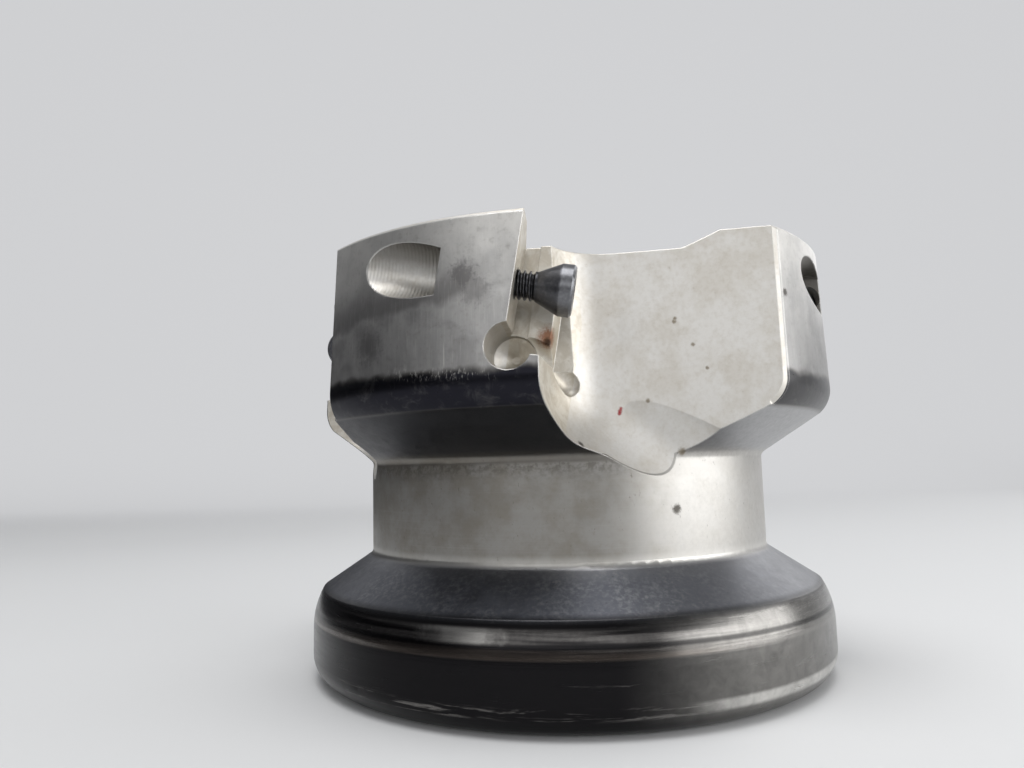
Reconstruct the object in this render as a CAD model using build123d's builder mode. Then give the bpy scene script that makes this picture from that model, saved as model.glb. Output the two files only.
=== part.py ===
from build123d import *
from math import cos, radians, sin, tan
import os

# Indexable face mill, right hand, four teeth, shown with its inserts taken out.
# Millimetres, +Z towards the cutting end, origin at the middle of the back face.

# Driving dimensions of the body
teeth = 4
pitch_shift = 2.0
head_radius = 38.0
overall_height = 55.7
neck_radius = 28.55
flange_radius = 36.7
cone_angle = 33.0
head_taper = 0.036

# Flange, from the back face up
back_rounding = 3.5
rim_straight_top = 7.0
rim_top = 11.9
crown_inset = 1.3

# Neck and the cone under the head
neck_corner = 1.0
head_depth = 26.65
head_corner_inset = 1.4
head_corner_height = 3.3
head_edge_chamfer = 0.4
heel_chamfer = 0.45

# Front face of the hub, turned lower than the teeth
recess_depth = 1.9
tooth_face_width = 5.5
recess_slope_width = 3.0

# Arbor mount: pilot bore, web and screw counterbore, drive slot across the back
pilot_diameter = 27.0
pilot_depth = 24.0
web_thickness = 12.0
screw_clearance_diameter = 13.0
head_counterbore_diameter = 20.0
bore_chamfer = 1.0
slot_width = 12.4
slot_depth = 7.0

# Gullet floor: a plane through one point, turned and leaned as an end mill leaves it
gullet_offset = 21.95
gullet_inset = 8.95
gullet_drop = 19.7
gullet_turn = 12.0
gullet_lean = 3.0
gullet_wall = -24.33
gullet_shoulder = -4.22
gullet_slope = 40.0
gullet_bottom = -18.0
gullet_arc = 10.0
gullet_fillet = 7.5
gullet_dip = 8.3
gullet_pass_length = 20.0
gullet_reach = 30.0

# Insert seat: its screw centre from the head's outside and top, its axial rake and its lean in plan
seat_offset = -6.85
seat_inset = 4.9
seat_drop = 7.6
axial_rake = 10.0
seat_lean = 4.8
insert_width = 9.52
insert_length = 16.4
corner_groove_width = 1.7
corner_groove_depth = 0.6
floor_groove_width = 0.5
floor_groove_depth = 0.25
contact_wall_height = 4.4
step_height = 7.4
step_depth = 2.4
step_slope = 0.7
pocket_reach = 14.0

# Relief holes at the foot of the seat
corner_hole_diameter = 5.2
corner_hole_off_seat = 0.5
corner_hole_above_ledge = 0.7
corner_hole_depth = 2.0
corner_hole_tip = 1.3
drill_point_angle = 59.0
channel_start_from_screw = (1.45, 3.5, -6.1)
channel_end_from_screw = (6.25, 5.9, -10.7)
channel_radius = 1.5

# Insert screw and its tapped hole, which opens on the back of the tooth
thread_diameter = 3.5
thread_clearance = 0.1
tapped_length = 8.7
window_diameter = 6.4
window_reach = 20.0
shank_below_seat = 7.2
cone_start = 2.35
cone_end = 5.0
head_top = 6.5
head_diameter = 5.9
head_edge = 0.25
socket_radius = 1.05
socket_lobe_radius = 0.36
socket_depth = 1.5
socket_lobes = 6

# How near a measured place must be to count as the wanted one
closeness = 0.01

os.makedirs("parts", exist_ok=True)


def direction(turn, lift):
    """Unit vector: turn degrees from -Y towards +X in plan, lifted by lift degrees."""
    level = cos(radians(lift))
    return Vector(sin(radians(turn)) * level, -cos(radians(turn)) * level, sin(radians(lift)))


# Sizes worked out from the driving dimensions
cone_rise = tan(radians(cone_angle))
rim_top_radius = flange_radius - crown_inset
neck_top = overall_height - head_depth
head_corner_radius = head_radius - head_corner_inset
neck_bottom = rim_top + (rim_top_radius - neck_radius) * cone_rise
head_bottom = neck_top + (head_corner_radius - neck_radius) * cone_rise
head_straight_bottom = head_bottom + head_corner_height
head_top_radius = head_radius - head_taper * (overall_height - head_straight_bottom)
recess_rim_radius = head_radius - tooth_face_width
recess_floor_radius = recess_rim_radius - recess_slope_width
hub_face = overall_height - recess_depth
pilot_radius = pilot_diameter / 2
counterbore_radius = head_counterbore_diameter / 2
web_top = pilot_depth + web_thickness
slot_length = 2 * (flange_radius + slot_width)

# Teeth evenly round the axis, but for the last, shifted to keep the cutter from chattering
tooth_turns = [index * 360 / teeth for index in range(teeth)]
tooth_turns[-1] -= pitch_shift

# Working points and planes of the first tooth
gullet_point = (gullet_offset, gullet_inset - head_radius, overall_height - gullet_drop)
seat_point = Vector(seat_offset, seat_inset - head_radius, overall_height - seat_drop)
channel_start = seat_point + Vector(*channel_start_from_screw)
channel_end = seat_point + Vector(*channel_end_from_screw)
floor_normal = direction(-gullet_turn, gullet_lean)
floor_across = Vector(cos(radians(gullet_turn)), -sin(radians(gullet_turn)), 0)
floor_plane = Plane(origin=gullet_point, x_dir=floor_across, z_dir=floor_normal)
seat_up = Vector(sin(radians(axial_rake)), 0, cos(radians(axial_rake)))
seat_inward = Vector(sin(radians(seat_lean)), cos(radians(seat_lean)), 0)
seat_normal = seat_inward.cross(seat_up).normalized()
seat_plane = Plane(origin=seat_point, x_dir=seat_inward, z_dir=seat_normal)
ledge = -insert_length / 2
inner_wall = insert_width / 2
shank_radius = (thread_diameter - thread_clearance) / 2

# Feet of the gullet's outline on the floor plane, and the mill's last pass, which dips under the floor
slope_across = sin(radians(gullet_slope))
slope_along = cos(radians(gullet_slope))
wall_foot = (gullet_wall, gullet_shoulder)
slope_foot = (
    gullet_wall + (gullet_shoulder - gullet_bottom) * slope_along / slope_across,
    gullet_bottom,
)
arc_length = gullet_arc * tan(radians(90 - gullet_slope) / 2)
pass_from = Vector(
    gullet_wall + arc_length * slope_along + gullet_fillet * slope_across,
    gullet_shoulder - arc_length * slope_across + gullet_fillet * slope_along,
    gullet_fillet,
)
pass_way = Vector(slope_along, -slope_across, -tan(radians(gullet_dip)))
pass_start = floor_plane.from_local_coords(pass_from)
pass_end = floor_plane.from_local_coords(pass_from + pass_way * gullet_pass_length)


def is_bore_mouth(edge):
    """True for the pilot bore's edge on the back face and the counterbore's on the hub face."""
    at_back = abs(edge.radius - pilot_radius) + abs(edge.center().Z)
    at_front = abs(edge.radius - counterbore_radius) + abs(edge.center().Z - hub_face)
    return min(at_back, at_front) < closeness


def spans_head(edge):
    """True for an edge that runs the whole straight height of the head."""
    missing = overall_height - head_edge_chamfer - head_straight_bottom - edge.bounding_box().size.Z
    return abs(missing) < closeness


# Outline of the turned blank, from the axis at the back face round to the front
with BuildPart() as blank:
    with BuildSketch(Plane.XZ):
        with BuildLine():
            back = Line((0, 0), (flange_radius - back_rounding, 0))
            rounding = TangentArc(back @ 1, (flange_radius, back_rounding), tangent=back % 1)
            rim = Line(rounding @ 1, (flange_radius, rim_straight_top))
            crown = TangentArc(rim @ 1, (rim_top_radius, rim_top), tangent=rim % 1)
            lower_cone = Line(crown @ 1, (neck_radius, neck_bottom))
            neck = Line(lower_cone @ 1, (neck_radius, neck_top))
            upper_cone = Line(neck @ 1, (head_corner_radius, head_bottom))
            corner = TangentArc(
                (head_radius, head_straight_bottom), upper_cone @ 1, tangent=(head_taper, -1)
            )
            head = Line(
                (head_radius, head_straight_bottom), (head_top_radius, overall_height - head_edge_chamfer)
            )
            edge = Line(head @ 1, (head_top_radius - head_edge_chamfer, overall_height))
            tooth_face = Line(edge @ 1, (recess_rim_radius, overall_height))
            recess_slope = Line(tooth_face @ 1, (recess_floor_radius, hub_face))
            hub = Line(recess_slope @ 1, (0, hub_face))
            axis = Line(hub @ 1, back @ 0)
        make_face()
        fillet(
            [v for v in vertices() if abs(v.X - neck_radius) < closeness],
            radius=neck_corner,
        )
    revolve(axis=Axis.Z)

# Space of one gullet: end-milled outline, straight down beside the pocket and then out along a slope
with BuildPart() as gullet:
    with BuildSketch(floor_plane):
        with BuildLine():
            Polyline(
                (gullet_wall, gullet_reach),
                wall_foot,
                slope_foot,
                (gullet_reach, gullet_bottom),
                (gullet_reach, gullet_reach),
                close=True,
            )
        make_face()
        fillet([vertices().sort_by_distance(foot)[0] for foot in (wall_foot, slope_foot)], gullet_arc)
    extrude(amount=gullet_reach)

    def cut_by_tool(edge):
        """True for the floor edges along the wall, the arc and the bottom of the outline."""
        middle = floor_plane.to_local_coords(edge @ 0.5)
        return max(middle.X, middle.Y) < gullet_reach - closeness

    gullet_floor = faces().sort_by(Axis(floor_plane.origin, floor_plane.z_dir))[0]
    fillet(gullet_floor.edges().filter_by(cut_by_tool), gullet_fillet)

# Trough of the mill's last pass, from the end of the outline's arc out through the neck
with BuildPart() as trough:
    pass_line = pass_end - pass_start
    with BuildSketch(Plane(origin=pass_start, z_dir=pass_line)):
        Circle(gullet_fillet)
    extrude(amount=pass_line.length)

# Space of one insert pocket: seat, corner groove, contact wall and the step beside it
with BuildPart() as pocket:
    section_plane = Plane(origin=seat_plane.from_local_coords((0, ledge)), x_dir=seat_normal, z_dir=seat_up)
    with BuildSketch(section_plane):
        with BuildLine():
            Polyline(
                (0, -pocket_reach),
                (0, inner_wall - floor_groove_width),
                (-floor_groove_depth, inner_wall - floor_groove_width),
                (-floor_groove_depth, inner_wall + corner_groove_depth),
                (corner_groove_width, inner_wall + corner_groove_depth),
                (corner_groove_width, inner_wall),
                (contact_wall_height, inner_wall),
                (contact_wall_height + step_slope, inner_wall + step_depth),
                (step_height, inner_wall + step_depth),
                (step_height, -pocket_reach),
                close=True,
            )
        make_face()
    extrude(amount=overall_height)

    # Round relief along the foot of the seat, drilled from outside, with a drill point
    corner_hole_plane = Plane(
        origin=seat_plane.from_local_coords(
            (-pocket_reach, ledge + corner_hole_above_ledge, corner_hole_off_seat)
        ),
        z_dir=seat_inward,
    )
    hole_length = pocket_reach + inner_wall + corner_hole_depth
    with BuildSketch(corner_hole_plane):
        Circle(corner_hole_diameter / 2)
    extrude(amount=hole_length)
    with BuildSketch(corner_hole_plane.offset(hole_length)):
        Circle(corner_hole_diameter / 2)
    extrude(amount=corner_hole_tip, taper=drill_point_angle)

    # Ball-ended channel from the corner down into the gullet
    channel_line = channel_end - channel_start
    with BuildSketch(Plane(origin=channel_start, z_dir=channel_line)):
        Circle(channel_radius)
    extrude(amount=channel_line.length)
    with Locations(channel_start, channel_end):
        Sphere(channel_radius)

    # Screw hole through the tooth and the counterbore that opens on its back
    with BuildSketch(seat_plane):
        Circle(thread_diameter / 2)
    extrude(amount=-tapped_length)
    with BuildSketch(seat_plane.offset(-tapped_length)):
        Circle(window_diameter / 2)
    extrude(amount=-window_reach)

# The body: blank, bores and drive slot, then gullets, pockets and troughs all round
with BuildPart() as cutter_body:
    add(blank.part)
    with BuildSketch(Plane.XY):
        Circle(pilot_radius)
    extrude(amount=pilot_depth, mode=Mode.SUBTRACT)
    with BuildSketch(Plane.XY):
        Circle(screw_clearance_diameter / 2)
    extrude(amount=overall_height, mode=Mode.SUBTRACT)
    with BuildSketch(Plane.XY.offset(web_top)):
        Circle(counterbore_radius)
    extrude(amount=overall_height, mode=Mode.SUBTRACT)
    bore_mouths = edges().filter_by(GeomType.CIRCLE).filter_by(is_bore_mouth)
    chamfer(bore_mouths, bore_chamfer)
    with BuildSketch(Plane.XY):
        Rectangle(slot_length, slot_width)
    extrude(amount=slot_depth, mode=Mode.SUBTRACT)
    tooth_places = [Location((0, 0, 0), (0, 0, turn)) for turn in tooth_turns]
    with Locations(tooth_places):
        add(gullet.part, mode=Mode.SUBTRACT)
        add(pocket.part, mode=Mode.SUBTRACT)
    heel_edges = edges().filter_by(GeomType.ELLIPSE).filter_by(spans_head)
    chamfer(heel_edges, heel_chamfer)
    with Locations(tooth_places):
        add(trough.part, mode=Mode.SUBTRACT)
cutter_body.part.label = "cutter_body"
export_step(cutter_body.part, "parts/cutter_body.step")

# Insert screws, each standing a little proud of its seat
for index, turn in enumerate(tooth_turns):
    screw_plane = Plane(
        origin=seat_plane.origin.rotate(Axis.Z, turn),
        x_dir=seat_plane.x_dir.rotate(Axis.Z, turn),
        z_dir=seat_plane.z_dir.rotate(Axis.Z, turn),
    )
    side_plane = Plane(origin=screw_plane.origin, x_dir=screw_plane.x_dir, z_dir=-screw_plane.y_dir)
    with BuildPart() as insert_screw:
        with BuildSketch(side_plane):
            with BuildLine():
                Polyline(
                    (0, -shank_below_seat),
                    (shank_radius - head_edge, -shank_below_seat),
                    (shank_radius, head_edge - shank_below_seat),
                    (shank_radius, cone_start),
                    (head_diameter / 2, cone_end),
                    (head_diameter / 2, head_top - head_edge),
                    (head_diameter / 2 - head_edge, head_top),
                    (0, head_top),
                    close=True,
                )
            make_face()
        revolve(axis=Axis(screw_plane.origin, screw_plane.z_dir))
        with BuildSketch(screw_plane.offset(head_top)):
            Circle(socket_radius)
            with PolarLocations(socket_radius, socket_lobes):
                Circle(socket_lobe_radius)
        extrude(amount=-socket_depth, mode=Mode.SUBTRACT)
    name = f"insert_screw_{index + 1}"
    insert_screw.part.label = name
    export_step(insert_screw.part, f"parts/{name}.step")
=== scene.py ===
from math import cos, hypot, pi, radians, sin, tan

import bpy
import numpy as np
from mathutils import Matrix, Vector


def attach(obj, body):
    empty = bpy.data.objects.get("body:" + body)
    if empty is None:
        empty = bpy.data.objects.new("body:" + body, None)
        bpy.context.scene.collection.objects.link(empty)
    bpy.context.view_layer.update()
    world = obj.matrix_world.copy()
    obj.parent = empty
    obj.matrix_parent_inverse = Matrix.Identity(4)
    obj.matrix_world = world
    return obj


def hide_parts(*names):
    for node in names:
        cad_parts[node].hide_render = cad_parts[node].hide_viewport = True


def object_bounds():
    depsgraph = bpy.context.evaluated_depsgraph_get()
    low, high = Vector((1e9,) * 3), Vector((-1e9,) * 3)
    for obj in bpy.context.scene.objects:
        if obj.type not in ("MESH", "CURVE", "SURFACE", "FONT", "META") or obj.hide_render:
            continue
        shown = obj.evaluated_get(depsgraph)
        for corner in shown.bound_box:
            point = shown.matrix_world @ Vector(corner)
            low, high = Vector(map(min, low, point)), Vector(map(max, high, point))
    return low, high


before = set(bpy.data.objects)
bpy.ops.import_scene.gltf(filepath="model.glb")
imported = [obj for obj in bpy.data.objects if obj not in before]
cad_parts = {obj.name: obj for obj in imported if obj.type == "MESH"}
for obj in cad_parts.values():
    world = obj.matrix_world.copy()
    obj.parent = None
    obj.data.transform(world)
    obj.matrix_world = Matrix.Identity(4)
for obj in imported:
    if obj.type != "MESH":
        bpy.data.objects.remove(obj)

cad_low, cad_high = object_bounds()

# Cutter body: one bar of tool steel, turned outside, then end-milled into four gullets and four insert
# pockets. The turned skin keeps its dark oxide and brushing, the milled places are bare satin steel, and
# edges, crown and rim are worn bright; the rim, cones, neck and windows also carry painted highlight, sheen
# and shade. All sizes are in millimetres on the CAD solid's own shape.
mm = 0.001
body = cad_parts["cutter_body"]
overall_height = cad_high[2] / mm
hub_face = 53.8
neck_radius = 28.55
neck_top = 29.05
cone_angle = radians(33.0)
head_taper = 0.036
edge_rounding = 0.22

# Ends of the rounded corner between cone and head, each as radius and height
corner_foot = (36.6, 34.28)
corner_top = (38.0, 37.58)

# First tooth: the middle of its insert seat, how the seat leans, and the round window behind its screw
seat_point = (-6.85, -33.1, 48.1)
axial_rake = radians(10.0)
seat_lean = radians(4.8)
pitch_shift = radians(2.0)
window_radius = 3.2
window_wall = -8.7


class Field:
    """A number at every point of a surface, held as a shader node's output, so that sums read as sums."""

    def __init__(self, socket):
        self.socket = socket
        self.tree = socket.id_data

    def step(self, operation, *others):
        """What a Math node makes of this number and others."""
        node = self.tree.nodes.new("ShaderNodeMath")
        node.operation = operation
        for place, value in zip(node.inputs, (self, *others)):
            feed(place, value)
        return Field(node.outputs[0])

    def __add__(self, other):
        return self.step("ADD", other)

    def __sub__(self, other):
        return self.step("SUBTRACT", other)

    def __mul__(self, other):
        return self.step("MULTIPLY", other)

    def __truediv__(self, other):
        return self.step("DIVIDE", other)

    __radd__ = __add__
    __rmul__ = __mul__

    def __rsub__(self, other):
        return self * -1.0 + other

    def away(self):
        """Distance from zero, without its sign."""
        return self.step("ABSOLUTE")

    def above(self, limit):
        """One where the number is over the limit, nothing elsewhere."""
        return self.step("GREATER_THAN", limit)

    def below(self, limit):
        """One where the number is under the limit, nothing elsewhere."""
        return self.step("LESS_THAN", limit)

    def least(self, other):
        """The smaller of two numbers."""
        return self.step("MINIMUM", other)

    def most(self, other):
        """The larger of two numbers."""
        return self.step("MAXIMUM", other)

    def fade(self, low, high):
        """Smooth climb from nothing at low to one at high; low may be the larger, for a fall."""
        node = self.tree.nodes.new("ShaderNodeMapRange")
        node.interpolation_type = "SMOOTHSTEP"
        feed(node.inputs["Value"], self)
        feed(node.inputs["From Min"], low)
        feed(node.inputs["From Max"], high)
        return Field(node.outputs["Result"])


def feed(place, value):
    """Links a field or socket to an input, or writes a plain number, colour or vector into it."""
    if isinstance(value, Field):
        value = value.socket
    if isinstance(value, bpy.types.NodeSocket):
        place.id_data.links.new(value, place)
    else:
        place.default_value = value


def arrow(operation, first, second):
    """Vector Math node on two vectors; a dot product or a distance comes out as a field."""
    tree = first.id_data
    node = tree.nodes.new("ShaderNodeVectorMath")
    node.operation = operation
    feed(node.inputs[0], first)
    feed(node.inputs[1], second)
    if operation in ("DOT_PRODUCT", "DISTANCE", "LENGTH"):
        return Field(node.outputs["Value"])
    return node.outputs["Vector"]


def parts_of(vector):
    """The three numbers of a vector."""
    node = vector.id_data.nodes.new("ShaderNodeSeparateXYZ")
    feed(node.inputs[0], vector)
    return [Field(out) for out in node.outputs]


def grain(at, pull, detail=2.0, rough=0.5, warp=0.0):
    """Noise, about 0.5 on average, stretched by pull in cycles per millimetre along x, y and z."""
    node = at.id_data.nodes.new("ShaderNodeTexNoise")
    feed(node.inputs["Vector"], arrow("MULTIPLY", at, pull))
    feed(node.inputs["Scale"], 1.0)
    feed(node.inputs["Detail"], detail)
    feed(node.inputs["Roughness"], rough)
    feed(node.inputs["Distortion"], warp)
    return Field(node.outputs["Fac"])


def tint(amount, under, over):
    """Colour over laid on colour under by amount."""
    tree = amount.tree
    node = tree.nodes.new("ShaderNodeMix")
    node.data_type = "RGBA"
    node.clamp_factor = True
    feed(node.inputs["Factor"], amount)
    feed(node.inputs["A"], rgba(under))
    feed(node.inputs["B"], rgba(over))
    return [out for out in node.outputs if out.type == "RGBA"][0]


def rgba(colour):
    """A colour of three numbers with its fourth added; anything else as it is."""
    return (*colour, 1.0) if isinstance(colour, tuple) and len(colour) == 3 else colour


def level(amount, under, over):
    """Number over laid on number under by amount."""
    return (over - under) * amount + under


def steel_shader(name, rounding):
    """New steel whose edges look rounded by a size in millimetres. Gives the material, its shader, the
    place in millimetres, the rounded normal, and the edges, where that normal turns from the flat one."""
    steel = bpy.data.materials.new(name)
    steel.use_nodes = True
    tree = steel.node_tree
    shader = tree.nodes["Principled BSDF"]
    shader.inputs["Metallic"].default_value = 1.0
    place = tree.nodes.new("ShaderNodeTexCoord").outputs["Object"]
    at = arrow("MULTIPLY", place, (1000.0, 1000.0, 1000.0))
    soft = tree.nodes.new("ShaderNodeBevel")
    soft.samples = 4
    soft.inputs["Radius"].default_value = rounding * mm
    flat = tree.nodes.new("ShaderNodeNewGeometry").outputs["Normal"]
    edge = arrow("DOT_PRODUCT", soft.outputs["Normal"], flat).fade(0.992, 0.90)
    return steel, shader, at, soft.outputs["Normal"], edge


def relief(shader, height, normal):
    """Bump from a height field in millimetres over the rounded normal."""
    node = shader.id_data.nodes.new("ShaderNodeBump")
    feed(node.inputs["Height"], height)
    feed(node.inputs["Distance"], mm)
    feed(node.inputs["Strength"], 1.0)
    feed(node.inputs["Normal"], normal)
    feed(shader.inputs["Normal"], node.outputs["Normal"])


def unit(turn, lift):
    """Unit vector: turn from -Y towards +X in plan, raised by lift."""
    return (sin(turn) * cos(lift), -cos(turn) * cos(lift), sin(lift))


body_steel, shader, at, rounded, edge = steel_shader("body_steel", edge_rounding)
x, y, z = parts_of(at)
radius = arrow("LENGTH", arrow("MULTIPLY", at, (1.0, 1.0, 0.0)), (0.0, 0.0, 0.0))

# The same place turned back to the first tooth, whose sector runs from 50 degrees left of -Y to 40 right
sector_lead = radians(5.0)
heading = x.step("ARCTAN2", -1.0 * y)
sector = ((heading + sector_lead) / (pi / 2)).step("ROUND")
last_tooth = sector.below(-0.5) * sector.above(-1.5)
back_to_first = body_steel.node_tree.nodes.new("ShaderNodeVectorRotate")
back_to_first.rotation_type = "Z_AXIS"
feed(back_to_first.inputs["Vector"], at)
feed(back_to_first.inputs["Angle"], sector * (-pi / 2) + last_tooth * pitch_shift)
on_tooth = back_to_first.outputs["Vector"]

# Distances on that tooth: off its seat, along the seat, into it, and from the line of its screw
seat_up = np.array([sin(axial_rake), 0.0, cos(axial_rake)])
seat_inward = np.array([sin(seat_lean), cos(seat_lean), 0.0])
seat_out = np.cross(seat_inward, seat_up)
seat_normal = seat_out / np.linalg.norm(seat_out)
from_seat = arrow("SUBTRACT", on_tooth, seat_point)
off_seat = arrow("DOT_PRODUCT", from_seat, tuple(seat_normal))
along_seat = arrow("DOT_PRODUCT", from_seat, tuple(seat_up))
in_seat = arrow("DOT_PRODUCT", from_seat, tuple(seat_inward))
from_screw_line = (in_seat * in_seat + along_seat * along_seat).step("SQRT")

# Radius of the turned skin at each height: neck, cone, the corner's arc between its two ends, tapered head
foot, top = np.array(corner_foot), np.array(corner_top)
inward = np.array([-1.0, -head_taper]) / hypot(1.0, head_taper)
bend = float(((foot - top) @ (foot - top)) / (2 * (foot - top) @ inward))
bend_radius, bend_height = (float(part) for part in top + inward * bend)
over_bend = z - bend_height
cone_at = (z - neck_top) * (1 / tan(cone_angle)) + neck_radius
corner_at = (bend * bend - over_bend * over_bend).most(0.0).step("SQRT") + bend_radius
head_at = corner_top[0] + head_taper * corner_top[1] - z * head_taper
skin_at = level(z.above(corner_foot[1]), cone_at, corner_at)
skin_at = level(z.above(corner_top[1]), skin_at, head_at)
skin_at = skin_at.most(neck_radius)

# Milled: deeper than the turned skin, over the neck. Bored: inside the mouths of the bores
milling_depth = 0.12
milling_foot = 20.0
milling_radius = 14.0
boring_radius = 14.2
face_depth = 0.02
milled = (skin_at - radius).above(milling_depth) * z.above(milling_foot) * radius.above(milling_radius)
milled = milled * z.below(overall_height - face_depth)
bored = radius.below(boring_radius) * z.above(face_depth) * z.below(hub_face)

# Finishes of the turned outside, from the rim up, with the heights between which one gives way to the next
rim_border = (11.3, 12.2)
foot_border = (15.9, 16.9)
cone_foot = (29.0, 29.9)
cone_top = (34.0, 34.5)
corner_border = (33.9, 34.5)
head_border = (37.7, 38.9)
border_sway = 1.8
waver = grain(at, (0.35, 0.35, 0.35), 2.0)
on_rim = 1.0 - z.fade(*rim_border)
on_foot = 1.0 - z.fade(*foot_border)
on_cone = z.fade(*cone_foot) * (1.0 - z.fade(*cone_top))
on_head = (z + (waver - 0.5) * border_sway).fade(*head_border)
on_corner = z.fade(*corner_border) * (1.0 - on_head)
in_front = y.below(0.0)

# Colours of bare, browned and blackened steel, some of them also used for painted sheen and shade
bare = (0.69, 0.675, 0.645)
bare_warm = (0.48, 0.43, 0.35)
gullet_brown = (0.17, 0.135, 0.09)
pocket_cream = (0.70, 0.665, 0.59)
window_painted_shade = (0.15, 0.142, 0.13)
bore_grey = (0.42, 0.41, 0.40)
neck_grey = (0.35, 0.34, 0.322)
neck_tan = (0.25, 0.228, 0.19)
neck_brown = (0.085, 0.075, 0.060)
neck_speck = (0.09, 0.08, 0.065)
head_grey = (0.35, 0.345, 0.34)
head_worn = (0.53, 0.52, 0.50)
head_stain = (0.14, 0.135, 0.135)
head_smudge = (0.17, 0.155, 0.135)
corner_black = (0.020, 0.020, 0.026)
cone_black = (0.055, 0.055, 0.058)
cone_worn_and_sheen = (0.115, 0.113, 0.112)
cone_painted_sheen = (0.52, 0.52, 0.525)
foot_blue = (0.098, 0.103, 0.120)
foot_pale = (0.21, 0.213, 0.225)
rim_black = (0.015, 0.0145, 0.0155)
rim_brown = (0.095, 0.080, 0.070)
rim_worn_and_highlight = (0.24, 0.23, 0.22)
bright = (0.78, 0.765, 0.73)
rust = (0.27, 0.095, 0.03)
red_fleck = (0.30, 0.006, 0.012)
grime = (0.035, 0.028, 0.020)
brown_fleck = (0.22, 0.18, 0.125)


def blot(centre, size, wander):
    """One inside an uneven patch about size across on the body, nothing outside it: the distance from its
    centre, lengthened and shortened by the wander, fades from a fifth to three quarters of the size."""
    gap = arrow("DISTANCE", at, centre) + (wander - 0.5) * size
    return gap.fade(size * 0.75, size * 0.20)


# Uneven grain of the surfaces: clouds of oxide, fine mottle, brush marks up the head, turning marks round
cloud = grain(at, (0.20, 0.20, 0.20), 4.0, 0.62)
patches = grain(at, (0.55, 0.55, 0.55), 4.0, 0.65, 0.6)
mottle = grain(at, (1.7, 1.7, 1.7), 4.0, 0.7)
fine = grain(at, (6.0, 6.0, 6.0), 2.0, 0.6)
brushing = grain(at, (6.0, 6.0, 0.30), 3.0, 0.65)
dragged = grain(at, (1.2, 1.2, 0.12), 3.0, 0.6)
turning = grain(at, (0.03, 0.03, 4.2), 3.0, 0.7)
bands = grain(at, (0.012, 0.012, 0.75), 3.0, 0.6)
scuffs = grain(at, (0.10, 0.10, 1.5), 4.0, 0.72, 0.4)
rings = grain(at, (0.05, 0.05, 1.4), 2.0, 0.5)
ticks = grain(at, (3.6, 3.6, 1.3), 2.0, 0.7)
pits = mottle.fade(0.70, 0.80) * patches.fade(0.48, 0.62)

# Head: grey, worn paler towards the cutting end, with a soft dark stain under and beside the screw window
window_stain = (-12.7, -35.3, 48.6)
lower_window_stain = (-11.4, -35.8, 47.0)
low_stain = (-24.2, -29.3, 42.2)
head_colour = tint(z.fade(41.0, 55.0) * (0.25 + cloud.fade(0.30, 0.65) * 0.75), head_grey, head_worn)
head_colour = tint(dragged.fade(0.40, 0.72) * 0.22, head_colour, head_worn)
head_colour = tint(z.fade(49.0, 55.0) * 0.22, head_colour, bright)
over_foot = z - 45.3 - (x + 20.0) * 0.10 + (waver - 0.5) * 2.5
stain = over_foot.fade(-0.5, 0.8) * over_foot.fade(5.5, 1.2) * x.fade(-9.0, -13.0) * in_front * 0.8
stain = stain.most(blot(window_stain, 3.4, mottle))
stain = stain.most(blot(lower_window_stain, 3.4, mottle) * 0.7)
stain = stain.most(cloud.fade(0.52, 0.36) * z.fade(51.0, 43.0) * 0.35)
head_colour = tint(stain * 0.85, head_colour, head_stain)
smudge = mottle.fade(0.50, 0.74) * (0.3 + patches * 0.5)
head_colour = tint(smudge * 0.45, head_colour, head_smudge)
head_colour = tint(blot(low_stain, 4.0, mottle) * 0.6, head_colour, head_stain)
head_colour = tint(brushing.fade(0.50, 0.80) * 0.17, head_colour, bright)

# Corner and upper cone: black oxide, with a sloping row of short upright scars along the head's lower
# border and one longer scratch above it; painted sheen makes corner and cone paler on the right, and
# painted shade makes the cone darker on the left
scar_height = 38.0
scar_middle = -15.3
scar_slope = 0.084
scratch_place = -14.9
off_scar_line = (z - scar_height + (x - scar_middle) * scar_slope - (waver - 0.5) * 0.8).away()
scar = off_scar_line.fade(0.95, 0.15) * ticks.fade(0.52, 0.70) * patches.fade(0.36, 0.52)
scar = scar * x.fade(-8.5, -12.5) * x.fade(-25.0, -20.0) * in_front
scratch = (x - scratch_place).away().fade(0.10, 0.04) * z.fade(38.5, 39.2) * z.fade(41.6, 40.6) * in_front
# Painted sheen: the corner is made paler towards the right, on top of its patches of wear
corner_colour = tint(patches.fade(0.50, 0.75) * 0.35 + x.fade(14.0, 26.0) * 0.6, corner_black, cone_worn_and_sheen)
cone_colour = tint(fine.fade(0.50, 0.78) * 0.25 + cloud.fade(0.35, 0.65) * 0.15, cone_black, cone_worn_and_sheen)
cone_colour = tint(z.fade(31.0, 29.2) * 0.5, cone_colour, cone_worn_and_sheen)
# Painted sheen on the cone's right side and painted shade on its left side
cone_colour = tint(x.fade(7.0, 20.0) * (0.55 + mottle * 0.5), cone_colour, cone_painted_sheen)
cone_colour = tint(x.fade(-12.0, -22.0) * 0.6, cone_colour, corner_black)

# Neck: satin turned steel with tan stains and specks, a grimy line in its upper corner deepened by painted
# shade under the cone, painted light on its right front, and a painted highlight along its lower corner
neck_colour = tint(cloud.fade(0.36, 0.62) * (0.35 + patches * 0.5), neck_grey, neck_tan)
neck_colour = tint(mottle.fade(0.48, 0.80) * 0.35, neck_colour, neck_tan)
neck_colour = tint(turning.fade(0.50, 0.80) * 0.06, neck_colour, bright)
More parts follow.
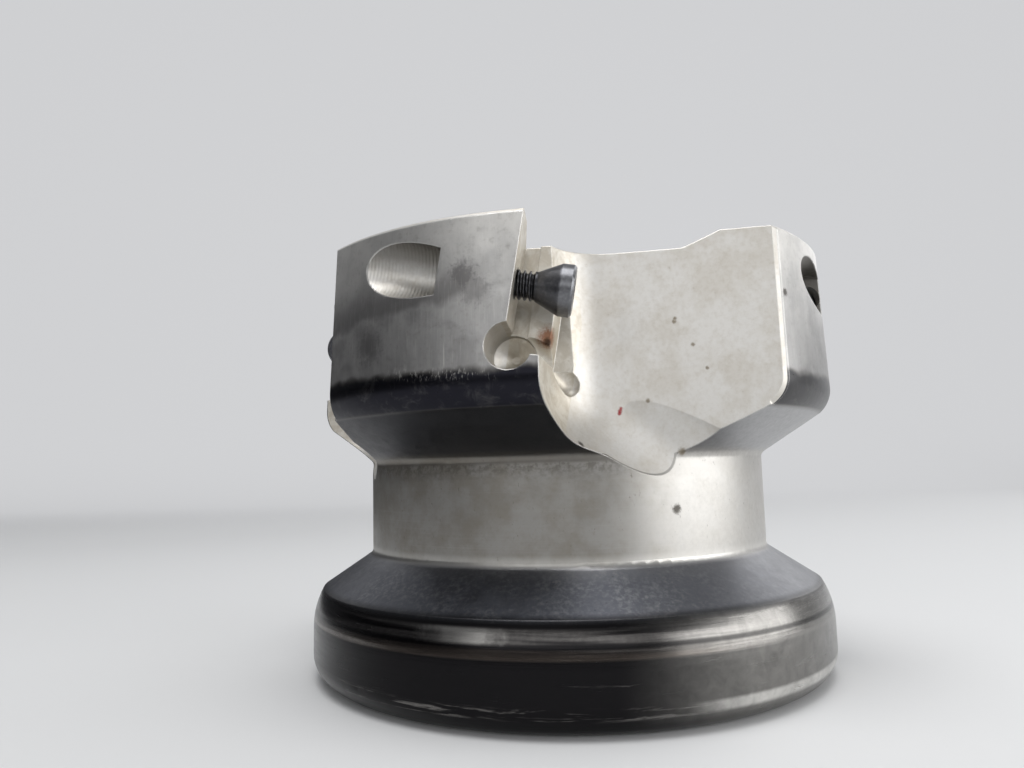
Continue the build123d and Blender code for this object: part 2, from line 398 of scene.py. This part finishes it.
# Grime and painted shade: the neck darkens towards its upper corner under the cone, mottled and in a smooth
# band
neck_grime_and_shade = z.fade(25.8, 28.4) * (0.25 + mottle.fade(0.36, 0.64) * (0.3 + patches)).least(1.0)
neck_colour = tint(neck_grime_and_shade.most(z.fade(27.9, 28.5)) * 0.6, neck_colour, neck_brown)
specked = grain(at, (2.6, 2.6, 1.2), 3.0, 0.7).fade(0.64, 0.72) * patches.fade(0.42, 0.56)
# Painted light: the neck's right front is made paler, where the lamp falls
neck_colour = tint(x.fade(1.0, 15.0) * y.fade(8.0, -4.0) * (0.35 + mottle * 0.5), neck_colour, bare)
neck_colour = tint(specked * 0.6, neck_colour, neck_speck)
# Painted highlight: a pale line along the neck's lower corner
lower_corner_highlight = z.fade(17.9, 16.9) * z.fade(15.9, 16.6)
neck_colour = tint(lower_corner_highlight * (0.10 + patches * 0.5), neck_colour, bright)

# Foot cone: blue-black oxide, paler towards the neck, with painted sheen making it paler to the right
foot_colour = tint(mottle.fade(0.40, 0.72) * (0.25 + cloud.fade(0.38, 0.62) * 0.55), foot_blue, foot_pale)
foot_colour = tint(z.fade(14.6, 16.3) * 0.45, foot_colour, foot_pale)
# Painted sheen: the foot cone is made paler to the right
foot_colour = tint(x.fade(4.0, 24.0) * (0.35 + patches * 0.5), foot_colour, foot_pale)
foot_colour = tint(z.fade(12.5, 11.9) * 0.7, foot_colour, rim_black)
foot_colour = tint(specked * 0.5, foot_colour, rim_black)

# Rim: glossy black oxide, browned in a belt under its crown, scuffed, and worn in soft rings round crown
# and belt that also serve as painted highlight bands, brighter to the right; with painted sheen on the
# right, a painted dark line between the bands, and painted highlights along its lower edge on the right
# and in a spot on the crown's front left
crown_highlight_spot = (-13.8, -33.3, 10.4)
crown = z.fade(9.3, 9.8) * z.fade(11.3, 10.9)
belt = z.fade(7.9, 8.3) * z.fade(9.3, 8.8)
rim_colour = tint(belt * (0.25 + bands.fade(0.38, 0.62) * 0.75), rim_black, rim_brown)
# Worn rings round the crown and in the belt, which are also painted highlight bands, brighter to the right
crown_wear_and_highlight = crown * rings.fade(0.36, 0.62) * (0.10 + mottle * 0.5 + x.fade(-4.0, 18.0) * 0.3)
rim_colour = tint(crown_wear_and_highlight, rim_colour, rim_worn_and_highlight)
rim_colour = tint(belt * rings.fade(0.50, 0.70) * mottle, rim_colour, rim_worn_and_highlight)
rim_colour = tint(z.fade(3.6, 3.0) * z.fade(1.9, 2.4) * scuffs.fade(0.52, 0.64) * 0.6, rim_colour, rim_worn_and_highlight)
rim_colour = tint(scuffs.fade(0.64, 0.78) * 0.3, rim_colour, rim_worn_and_highlight)
# Painted sheen: the rim's right front is made paler
rim_colour = tint(x.fade(2.0, 21.0) * y.fade(4.0, -8.0) * (0.30 + patches * 0.6), rim_colour, neck_grey)
# Painted shade: a dark line between the two highlight bands
rim_colour = tint(z.fade(9.0, 9.3) * z.fade(9.8, 9.5) * 0.7, rim_colour, rim_black)
# Painted highlight: a bright band along the lower edge on the right front
lower_edge_highlight = z.fade(3.6, 3.1) * z.fade(1.9, 2.5) * x.fade(9.0, 17.0) * in_front * (0.2 + patches)
rim_colour = tint(lower_edge_highlight, rim_colour, bright)
# Painted highlight: a bright spot on the crown's front left
rim_colour = tint(blot(crown_highlight_spot, 8.0, patches) * crown * 0.22, rim_colour, bright)

# The whole turned outside
turned_colour = tint(on_head, neck_colour, head_colour)
turned_colour = tint(on_cone, turned_colour, cone_colour)
turned_colour = tint(on_corner, turned_colour, corner_colour)
turned_colour = tint(on_foot, turned_colour, foot_colour)
turned_colour = tint(on_rim, turned_colour, rim_colour)
turned_colour = tint(scar * 0.55, turned_colour, bright)
turned_colour = tint(scratch * 0.35, turned_colour, bright)
turned_colour = tint(pits * 0.6, turned_colour, grime)

# Milled gullets, pockets and windows: bare satin steel, browned in clouds and specks, the pockets creamier
# with tan patches, the windows given painted shade in their upper half and on their end wall
pocket_height = 7.7
pocket_floor = -0.6
pocket_reach = 8.2
window_margin = 0.03
window_end_depth = 0.05
milled_colour = tint(cloud.fade(0.40, 0.64) * 0.30 + mottle.fade(0.40, 0.75) * 0.22, bare, bare_warm)
brown_specks = mottle.fade(0.66, 0.78) * patches.fade(0.50, 0.60)
milled_colour = tint(brown_specks * 0.55, milled_colour, gullet_brown)
in_pocket = off_seat.below(pocket_height) * off_seat.above(pocket_floor) * in_seat.below(pocket_reach)
milled_colour = tint(in_pocket * 0.6, milled_colour, pocket_cream)
milled_colour = tint(in_pocket * patches.fade(0.38, 0.62) * 0.6, milled_colour, bare_warm)
off_end_wall = off_seat - window_wall
in_window = from_screw_line.below(window_radius + window_margin) * off_end_wall.below(window_margin)
# Painted shade: each window's upper half and its end wall are darkened
window_shade = (along_seat.fade(-0.3, 2.3) * 0.85).most(off_end_wall.above(-window_end_depth))
milled_colour = tint(in_window * window_shade, milled_colour, window_painted_shade)
bored_colour = tint(turning.fade(0.4, 0.7) * 0.5, bore_grey, bright)

# Turned, milled and bored steel together, bright along the edges
colour = tint(milled, turned_colour, milled_colour)
colour = tint(bored, colour, bored_colour)
colour = tint(edge * (1.0 - on_foot * 0.8) * (1.0 - in_window) * 0.7, colour, bright)

# Marks of use, as place, size and colour: dark nicks on the neck, the heel and the gullet's lip, rust in
# the pocket's corner, one red fleck and brown flecks in the gullet
marks = (
    ((11.32, -26.20, 22.52), 1.1, grime),
    ((24.86, -28.23, 47.57), 0.9, grime),
    ((-3.14, -28.58, 42.73), 2.4, rust),
    ((-3.3, -28.7, 42.2), 1.0, grime),
    ((5.12, -25.7, 33.9), 0.45, red_fleck),
    ((5.20, -25.7, 34.2), 0.50, red_fleck),
    ((5.32, -25.65, 34.5), 0.40, red_fleck),
    ((12.1, -26.5, 45.1), 0.45, brown_fleck),
    ((12.0, -26.5, 44.7), 0.50, brown_fleck),
    ((14.0, -27.0, 41.8), 0.45, brown_fleck),
    ((15.4, -27.5, 38.9), 0.40, brown_fleck),
    ((8.5, -26.2, 35.3), 0.50, brown_fleck),
    ((12.3, -26.0, 29.2), 0.90, brown_fleck),
    ((0.1, -29.6, 30.3), 0.80, grime),
)
ragged = (mottle + fine) * 0.5
for centre, size, shade in marks:
    colour = tint(blot(centre, size, ragged) * 0.85, colour, shade)
feed(shader.inputs["Base Color"], colour)

# Gloss, and the fine relief of brushing, turning rings, pits and the ridges left in the windows
ridge_spacing = 0.42
turned_rough = 0.40 + (brushing - 0.5) * 0.15 + (patches - 0.5) * 0.25
turned_rough = level(on_corner, turned_rough, 0.30 + (mottle - 0.5) * 0.15)
turned_rough = level(on_rim, turned_rough, 0.16 + scuffs * 0.18)
rough = level(milled, turned_rough, 0.48 + (mottle - 0.5) * 0.2)
feed(shader.inputs["Roughness"], rough)

turned_height = level(on_head, turning * 0.0015 + mottle * 0.006, brushing * 0.006 + mottle * 0.004)
turned_height = level(on_rim, turned_height, bands * 0.03 + scuffs * 0.012)
milled_height = mottle * 0.008 + grain(at, (3.0, 3.0, 0.6), 2.0) * 0.004
ridges = (off_seat * (2 * pi / ridge_spacing)).step("SINE") * in_window * 0.015
relief(shader, level(milled, turned_height, milled_height) + ridges - pits * 0.02, rounded)
body.material_slots[0].material = body_steel


# Insert screws: M3.5 of black-oxided steel with a countersunk head and a six-lobed socket, each backed
# out a little from its seat. Turned, with a rolled thread; they replace the plain solids.
screw_count = 4
pitch = 0.65
thread_depth = 0.34
thread_run_out = 0.5
shank_point = 0.25
shank_radius = 1.7
shank_below_seat = 7.2
cone_start = 2.35
cone_end = 5.0
head_top = 6.5
head_radius = 2.95
head_edge = 0.25
socket_radius = 1.05
lobe_radius = 0.36
socket_depth = 1.5
lobes = 6
around = 96
rows_per_pitch = 10


def screw_side(turn, height):
    """Radius over turn and height. Shank: its radius less a triangular groove, which climbs one pitch a
    turn and runs out at both ends, and less a taper at the point. Cone: a straight line from the shank's
    radius to the head's. Head: its radius less a small break on its edge."""
    wave = np.mod(height / pitch - turn, 1.0)
    groove = thread_depth * np.clip(1.6 - 4.0 * np.abs(wave - 0.5), 0.0, 1.0)
    from_point = height + shank_below_seat
    fading = np.clip((cone_start - height) / thread_run_out, 0.0, 1.0)
    fading = fading * np.clip(from_point / thread_run_out, 0.0, 1.0)
    taper = shank_point * np.clip(1.0 - from_point / shank_point, 0.0, 1.0)
    shank = shank_radius - groove * fading - taper
    cone = shank_radius + (head_radius - shank_radius) * (height - cone_start) / (cone_end - cone_start)
    head = head_radius - np.clip(height - head_top + head_edge, 0.0, head_edge)
    return np.where(height < cone_start, shank, np.where(height < cone_end, cone, head))


def socket_outline(turn):
    """Radius of the socket over turn: a circle with a smaller circle set on it at each lobe, whose far side
    is met at the distance that the lobe's circle gives for the angle off its middle."""
    off_lobe = np.mod(turn * 2 * pi + pi / lobes, 2 * pi / lobes) - pi / lobes
    half_chord = np.clip(lobe_radius**2 - (socket_radius * np.sin(off_lobe)) ** 2, 0.0, None)
    lobe = np.where(half_chord > 0, socket_radius * np.cos(off_lobe) + np.sqrt(half_chord), 0.0)
    return np.maximum(socket_radius, lobe)


def closed_skin(name, rings):
    """Skin over rings of equal length laid one after another: each ring is closed on itself and joined to
    the next by quads, and the first and last are closed by triangles to their middle points."""
    count, size = rings.shape[:2]
    points = np.vstack([rings[0].mean(0), rings.reshape(-1, 3), rings[-1].mean(0)])
    row, column = np.meshgrid(np.arange(count - 1), np.arange(size), indexing="ij")
    after = (column + 1) % size
    first = 1 + row * size
    quads = np.stack([first + column, first + after, first + size + after, first + size + column], -1)
    ring = np.arange(size)
    start_cap = np.stack([np.zeros_like(ring), 1 + (ring + 1) % size, 1 + ring], -1)
    base = 1 + (count - 1) * size
    end_cap = np.stack([np.full_like(ring, len(points) - 1), base + ring, base + (ring + 1) % size], -1)
    faces = quads.reshape(-1, 4).tolist() + start_cap.tolist() + end_cap.tolist()
    mesh = bpy.data.meshes.new(name)
    mesh.from_pydata(points.tolist(), [], faces)
    mesh.validate()
    piece = bpy.data.objects.new(name, mesh)
    bpy.context.scene.collection.objects.link(piece)
    return piece


# One screw in its own measures: its side from the point up, then its face and socket inwards
heights = np.concatenate([
    np.arange(-shank_below_seat, cone_start, pitch / rows_per_pitch),
    np.linspace(cone_start, cone_end, 12),
    np.linspace(cone_end, head_top - head_edge, 6)[1:],
    np.linspace(head_top - head_edge, head_top, 4)[1:],
])
turns = np.arange(around) / around
side_radius = screw_side(turns[None, :], heights[:, None])
lip = socket_outline(turns)
socket_floor = head_top - socket_depth
face = (
    (lip + 0.5, head_top),
    (lip + 0.12, head_top),
    (lip + 0.03, head_top - 0.03),
    (lip, head_top - 0.12),
    (lip, socket_floor),
    (lip * 0.55, socket_floor),
    (lip * 0.05, socket_floor - 0.15),
)
ring_radius = np.vstack([side_radius] + [outline for outline, height in face])
ring_height = np.concatenate([heights, [height for outline, height in face]])
point_height = np.concatenate([ring_height[:1], np.repeat(ring_height, around), ring_height[-1:]])
circle = np.stack([np.cos(turns * 2 * pi), np.sin(turns * 2 * pi)])

# Black oxide, darker in the thread, worn paler round the head and along its edges
screw_rounding = 0.06
screw_black = (0.085, 0.086, 0.094)
screw_grey = (0.15, 0.149, 0.155)
thread_black = (0.030, 0.030, 0.033)
head_rim_worn = (0.32, 0.325, 0.34)
screw_edge_worn = (0.30, 0.30, 0.31)
black_steel, screw_shader, screw_at, screw_rounded, screw_edge = steel_shader("black_steel", screw_rounding)
screw_mottle = grain(screw_at, (2.5, 2.5, 2.5), 3.0, 0.6)
along_screw = Field(black_steel.node_tree.nodes.new("ShaderNodeAttribute").outputs["Fac"])
along_screw.socket.node.attribute_name = "along_screw"
in_thread = along_screw.fade(cone_start + 0.4, cone_start)
on_head_rim = along_screw.fade(cone_end - 0.1, cone_end + 0.1) * along_screw.below(head_top - 0.02)
screw_colour = tint(screw_mottle.fade(0.45, 0.7) * 0.5, screw_black, screw_grey)
screw_colour = tint(in_thread * 0.6, screw_colour, thread_black)
screw_colour = tint(on_head_rim * (0.1 + screw_mottle * 0.5), screw_colour, head_rim_worn)
screw_colour = tint(screw_edge * 0.35, screw_colour, screw_edge_worn)
feed(screw_shader.inputs["Base Color"], screw_colour)
feed(screw_shader.inputs["Roughness"], 0.26 + screw_mottle * 0.16)
relief(screw_shader, screw_mottle * 0.004, screw_rounded)

# One screw on each seat; the last tooth stands nearer to the one before it
for index in range(screw_count):
    angle = index * pi / 2 - (pitch_shift if index == screw_count - 1 else 0.0)
    spin = np.array([[cos(angle), -sin(angle), 0], [sin(angle), cos(angle), 0], [0, 0, 1]])
    origin = spin @ np.array(seat_point)
    axis, across, up = spin @ seat_normal, spin @ seat_inward, spin @ seat_up
    plane = circle[0][None, :, None] * across + circle[1][None, :, None] * up
    screw_rings = origin + ring_radius[:, :, None] * plane + ring_height[:, None, None] * axis
    name = f"insert_screw_{index + 1}"
    screw = closed_skin(f"{name}_threaded", screw_rings * mm)
    screw.data.materials.append(black_steel)
    screw.data.attributes.new("along_screw", "FLOAT", "POINT").data.foreach_set("value", point_height)
    screw.data.shade_smooth()
    screw.data.set_sharp_from_angle(angle=radians(28))
    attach(screw, "root")
    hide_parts(name)


# Floor and backdrop: one sheet of pale matt paper. It lies flat under the cutter, curves up behind it in a
# wide bend and hangs from its upper edge, out of view.
sheet_width = 3.0
sheet_front = -1.5
sheet_back = 0.55
sheet_bend = 0.30
sheet_height = 1.0
floor_gap = 0.00003
paper_white = (0.78, 0.785, 0.79, 1.0)
rise_grey = (0.66, 0.665, 0.68, 1.0)


def swept_sheet(name, profile, width):
    """Sheet of a (y, z) profile carried along x, from minus half the width to plus half of it."""
    across = np.linspace(-width / 2, width / 2, 9)
    grid = np.stack(np.broadcast_arrays(across[:, None], profile[None, :, 0], profile[None, :, 1]), -1)
    rows, columns = grid.shape[:2]
    row, column = np.meshgrid(np.arange(rows - 1), np.arange(columns - 1), indexing="ij")
    first = row * columns + column
    quads = np.stack([first, first + columns, first + columns + 1, first + 1], -1).reshape(-1, 4)
    mesh = bpy.data.meshes.new(name)
    mesh.from_pydata(grid.reshape(-1, 3).tolist(), [], quads.tolist())
    mesh.shade_smooth()
    piece = bpy.data.objects.new(name, mesh)
    bpy.context.scene.collection.objects.link(piece)
    return piece


swing = np.linspace(0.0, pi / 2, 25)
flat_run = np.array([[sheet_front, 0.0], [0.0, 0.0]])
bend_run = np.stack([sheet_back + sheet_bend * np.sin(swing), sheet_bend * (1 - np.cos(swing))], -1)
wall_run = np.array([[sheet_back + sheet_bend, sheet_height]])
profile = np.vstack([flat_run, bend_run, wall_run]) - [0.0, floor_gap]
floor = swept_sheet("floor", profile, sheet_width)
paper = bpy.data.materials.new("pale_paper")
paper.use_nodes = True
paper_shader = paper.node_tree.nodes["Principled BSDF"]
paper_shader.inputs["Base Color"].default_value = paper_white
paper_shader.inputs["Roughness"].default_value = 0.85

# The paper's rise shows pale to the camera and in the steel's gloss, without more light on the cutter
paper_nodes = paper.node_tree.nodes
behind = parts_of(paper_nodes.new("ShaderNodeTexCoord").outputs["Object"])[1]
rays = paper_nodes.new("ShaderNodeLightPath").outputs
seen = Field(rays["Is Camera Ray"]).most(Field(rays["Is Glossy Ray"]))
seen = seen.most(Field(rays["Is Transmission Ray"]))
glow = paper_nodes.new("ShaderNodeEmission")
glow.inputs["Color"].default_value = rise_grey
blend = paper_nodes.new("ShaderNodeMixShader")
feed(blend.inputs[0], behind.fade(0.15, 0.75) * seen * 0.9)
feed(blend.inputs[1], paper_shader.outputs["BSDF"])
feed(blend.inputs[2], glow.outputs["Emission"])
feed(paper_nodes["Material Output"].inputs["Surface"], blend.outputs["Shader"])
floor.data.materials.append(paper)


# Cards: two curved boards of matt black cardboard that stand round the cutter, low in front and higher on
# the left, as they stand beside shiny parts in a studio. Only the steel's gloss shows them.
card_foot = 0.001
card_grey = (0.04, 0.04, 0.045, 1.0)
card_black = bpy.data.materials.new("card_black")
card_black.use_nodes = True
card_shader = card_black.node_tree.nodes["Principled BSDF"]
card_shader.inputs["Base Color"].default_value = card_grey
card_shader.inputs["Roughness"].default_value = 0.9


def shade_card(name, first_turn, last_turn, distance, height):
    """Upright board along an arc round the cutter's axis: it runs between two turns from -Y towards +X at
    one distance, and from the floor up to the height given."""
    turns = np.linspace(first_turn, last_turn, 25)
    line = distance * np.stack([np.sin(turns), -np.cos(turns)], -1)
    points = np.vstack([np.insert(line, 2, card_foot, axis=1), np.insert(line, 2, height, axis=1)])
    post = np.arange(len(line) - 1)
    quads = np.stack([post, post + 1, post + 1 + len(line), post + len(line)], -1)
    mesh = bpy.data.meshes.new(name)
    mesh.from_pydata(points.tolist(), [], quads.tolist())
    mesh.materials.append(card_black)
    card = bpy.data.objects.new(name, mesh)
    bpy.context.scene.collection.objects.link(card)
    card.visible_camera = False
    card.visible_diffuse = False
    card.visible_shadow = False


shade_card("left_card", first_turn=radians(-52), last_turn=radians(-160), distance=0.30, height=0.11)
shade_card("front_card", first_turn=radians(18), last_turn=radians(-52), distance=0.32, height=0.06)


# Light: one strong soft lamp low on the right, a wide weaker one in front above the camera, one overhead,
# one behind on the right, and a pale room all round.
lamp_aim = (0.0, 0.0, 0.03)
room_white = (0.80, 0.81, 0.83, 1.0)
room_strength = 0.36


def soft_lamp(name, turn, lift, distance, size, power):
    """Rectangular lamp that faces the cutter, seen from it at a turn from -Y towards +X and a lift."""
    data = bpy.data.lights.new(name, "AREA")
    data.shape = "RECTANGLE"
    data.size, data.size_y = size
    data.energy = power
    lamp = bpy.data.objects.new(name, data)
    way = Vector(unit(radians(turn), radians(lift)))
    lamp.location = Vector(lamp_aim) + way * distance
    lamp.rotation_euler = (way * -1.0).to_track_quat("-Z", "Y").to_euler()
    bpy.context.scene.collection.objects.link(lamp)


soft_lamp("key_lamp", turn=67, lift=11, distance=0.65, size=(0.75, 0.28), power=2.15)
soft_lamp("front_lamp", turn=-12, lift=19, distance=0.65, size=(0.80, 0.20), power=0.72)
soft_lamp("top_lamp", turn=-20, lift=76, distance=0.60, size=(0.40, 0.40), power=2.2)
soft_lamp("back_lamp", turn=130, lift=28, distance=0.70, size=(0.45, 0.40), power=0.7)
room = bpy.data.worlds.new("room")
bpy.context.scene.world = room
room.use_nodes = True
room.node_tree.nodes["Background"].inputs["Color"].default_value = room_white
room.node_tree.nodes["Background"].inputs["Strength"].default_value = room_strength


# Camera: where the photograph was taken, close in front of the cutter, level with its neck and tipped up
# a little, so that the underside of the head shows.
lens_data = bpy.data.cameras.new("camera")
lens_data.sensor_width = 36.0
lens_data.lens = 26.75
lens_data.clip_start = 0.01
camera = bpy.data.objects.new("camera", lens_data)
camera.location = (-0.00759, -0.116263, 0.027543)
camera.rotation_euler = (radians(96.438), radians(1.428), radians(0.161))
bpy.context.scene.collection.objects.link(camera)
bpy.context.scene.camera = camera
bpy.context.scene.view_settings.view_transform = "Standard"
